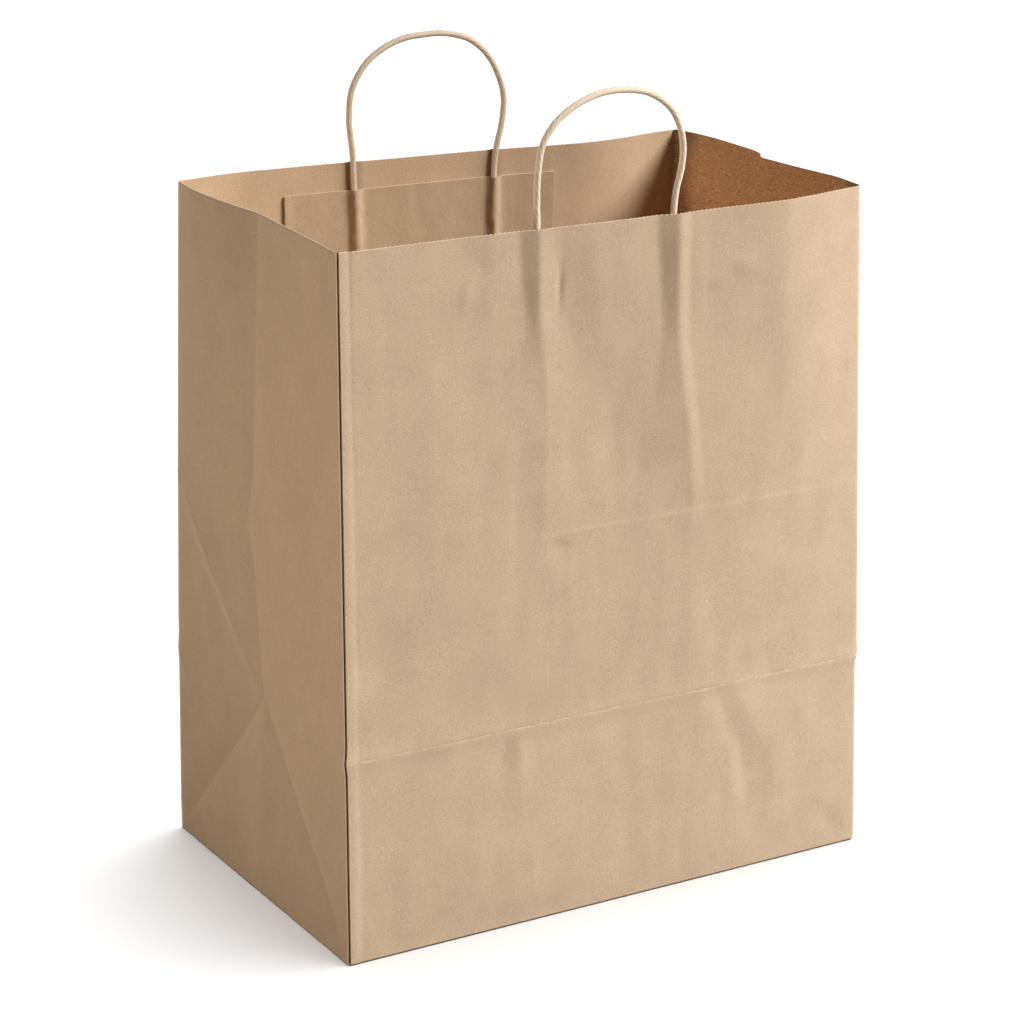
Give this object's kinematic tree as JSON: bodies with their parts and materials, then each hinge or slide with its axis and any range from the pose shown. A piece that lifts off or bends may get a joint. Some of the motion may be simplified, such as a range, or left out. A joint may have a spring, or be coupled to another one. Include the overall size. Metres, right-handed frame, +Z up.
{
  "type": "paper carrier bag",
  "caption": "Standing kraft paper carrier bag with a folded block bottom, gusseted sides, an open pinked mouth and twisted paper cord handles glued inside.",
  "frame": {"origin": "middle of the base, on the surface that the bag stands on", "axes": "+X to the right along the wide front wall, +Y from the front wall to the back wall, +Z up out of the mouth"},
  "size_m": [0.3682, 0.2338, 0.5056],
  "materials": {
    "kraft_sheet": "matt brown kraft",
    "kraft_strip": "matt brown kraft",
    "twisted_cord": "matt pale twisted paper"
  },
  "bodies": {
    "root": {"bag_body": "kraft_sheet", "front_backing_strip": "kraft_strip", "front_cover_strip": "kraft_strip", "back_backing_strip": "kraft_strip", "back_cover_strip": "kraft_strip", "front_handle": "twisted_cord", "back_handle": "twisted_cord"}
  },
  "joints": []
}
